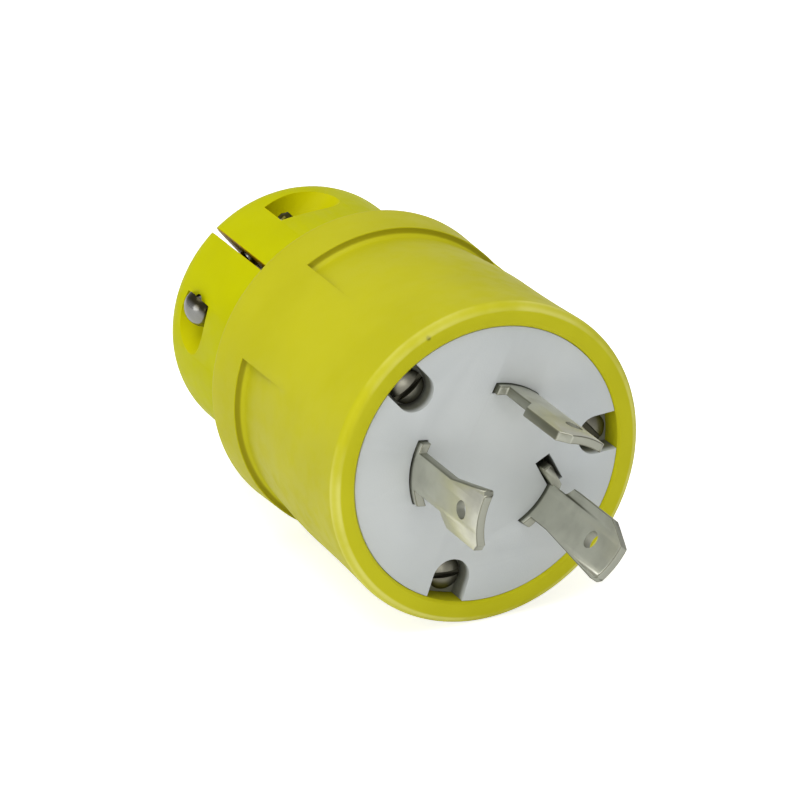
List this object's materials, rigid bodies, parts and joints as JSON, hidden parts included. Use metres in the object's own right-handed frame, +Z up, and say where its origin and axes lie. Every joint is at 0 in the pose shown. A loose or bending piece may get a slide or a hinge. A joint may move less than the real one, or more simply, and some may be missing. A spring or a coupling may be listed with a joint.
{
  "type": "locking shore power plug",
  "caption": "Round yellow three-blade twist-lock plug for a shore power cord, with a flush face plate and a split screw-down cord clamp.",
  "frame": {"origin": "centre of the front rim plane, on the plug's axis", "axes": "+Y runs rearward along the plug's axis to the cord outlet, the blades point to -Y, +Z is up as the plug lies on its side, +X is to the right seen from the blades"},
  "size_m": [0.0546, 0.0989, 0.0546],
  "materials": {
    "housing_nylon": "satin moulded yellow nylon",
    "clamp_nylon": "satin moulded yellow nylon, a stronger yellow",
    "face_nylon": "satin moulded grey-white nylon",
    "block_phenolic": "dark moulded thermoset",
    "blade_nickel": "nickel-plated brass, satin",
    "terminal_brass": "bare brass",
    "screw_steel": "zinc-plated steel",
    "neutral_screw_nickel": "silver-coloured plated screw",
    "ground_screw_green": "green-dyed plated screw"
  },
  "bodies": {
    "shell": {"housing": "housing_nylon", "insert_1": "terminal_brass", "insert_2": "terminal_brass", "insert_3": "terminal_brass", "face_plate": "face_nylon", "terminal_block": "block_phenolic", "wire_guide": "block_phenolic", "guide_screw": "screw_steel", "blade_hot": "blade_nickel", "blade_neutral": "blade_nickel", "blade_ground": "blade_nickel", "face_screw_1": "screw_steel", "face_screw_2": "screw_steel", "face_screw_3": "screw_steel"},
    "clamp_half_a": {"clamp_a": "clamp_nylon"},
    "clamp_half_b": {"clamp_b": "clamp_nylon"},
    "clamp_bolt_1": {"clamp_screw_1": "screw_steel"},
    "clamp_bolt_2": {"clamp_screw_2": "screw_steel"},
    "hot_plate": {"plate_hot": "terminal_brass"},
    "hot_bolt": {"term_screw_hot": "terminal_brass"},
    "neutral_plate": {"plate_neutral": "terminal_brass"},
    "neutral_bolt": {"term_screw_neutral": "neutral_screw_nickel"},
    "ground_plate": {"plate_ground": "terminal_brass"},
    "ground_bolt": {"term_screw_ground": "ground_screw_green"}
  },
  "joints": [
    {"name": "clamp_a_slide", "type": "slide", "parent": "shell", "child": "clamp_half_a", "axis": [0.7716, 0, 0.6361], "range_m": [-0.0006, 0.0005]},
    {"name": "clamp_b_slide", "type": "slide", "parent": "shell", "child": "clamp_half_b", "axis": [-0.7716, 0, -0.6361], "range_m": [-0.0006, 0.0005]},
    {"name": "clamp_screw_1_turn", "type": "hinge", "parent": "clamp_half_a", "child": "clamp_bolt_1", "pos_m": [-0.01145, 0.0639, 0.01389], "axis": [0.7716, 0, 0.6361], "range_deg": [-270, 225]},
    {"name": "clamp_screw_2_turn", "type": "hinge", "parent": "clamp_half_a", "child": "clamp_bolt_2", "pos_m": [0.01145, 0.0639, -0.01389], "axis": [0.7716, 0, 0.6361], "range_deg": [-270, 225]},
    {"name": "hot_plate_slide", "type": "slide", "parent": "shell", "child": "hot_plate", "axis": [-0.9895, 0, 0.1444], "range_m": [0, 0.0022]},
    {"name": "hot_screw_turn", "type": "hinge", "parent": "hot_plate", "child": "hot_bolt", "pos_m": [-0.01633, 0.014, 0.00238], "axis": [-0.9895, 0, 0.1444], "range_deg": [0, 990]},
    {"name": "neutral_plate_slide", "type": "slide", "parent": "shell", "child": "neutral_plate", "axis": [0.4478, 0, 0.8942], "range_m": [0, 0.0022]},
    {"name": "neutral_screw_turn", "type": "hinge", "parent": "neutral_plate", "child": "neutral_bolt", "pos_m": [0.00739, 0.014, 0.01475], "axis": [0.4478, 0, 0.8942], "range_deg": [0, 990]},
    {"name": "ground_plate_slide", "type": "slide", "parent": "shell", "child": "ground_plate", "axis": [0.766, 0, -0.6428], "range_m": [0, 0.0022]},
    {"name": "ground_screw_turn", "type": "hinge", "parent": "ground_plate", "child": "ground_bolt", "pos_m": [0.01264, 0.014, -0.01061], "axis": [0.766, 0, -0.6428], "range_deg": [0, 990]}
  ],
  "couplings": [
    {"joint": "clamp_b_slide", "follows": "clamp_a_slide", "ratio": 1},
    {"joint": "clamp_screw_1_turn", "follows": "clamp_a_slide", "rad_per_m": 7854},
    {"joint": "clamp_screw_2_turn", "follows": "clamp_a_slide", "rad_per_m": 7854},
    {"joint": "hot_screw_turn", "follows": "hot_plate_slide", "rad_per_m": 7854},
    {"joint": "neutral_screw_turn", "follows": "neutral_plate_slide", "rad_per_m": 7854},
    {"joint": "ground_screw_turn", "follows": "ground_plate_slide", "rad_per_m": 7854}
  ]
}
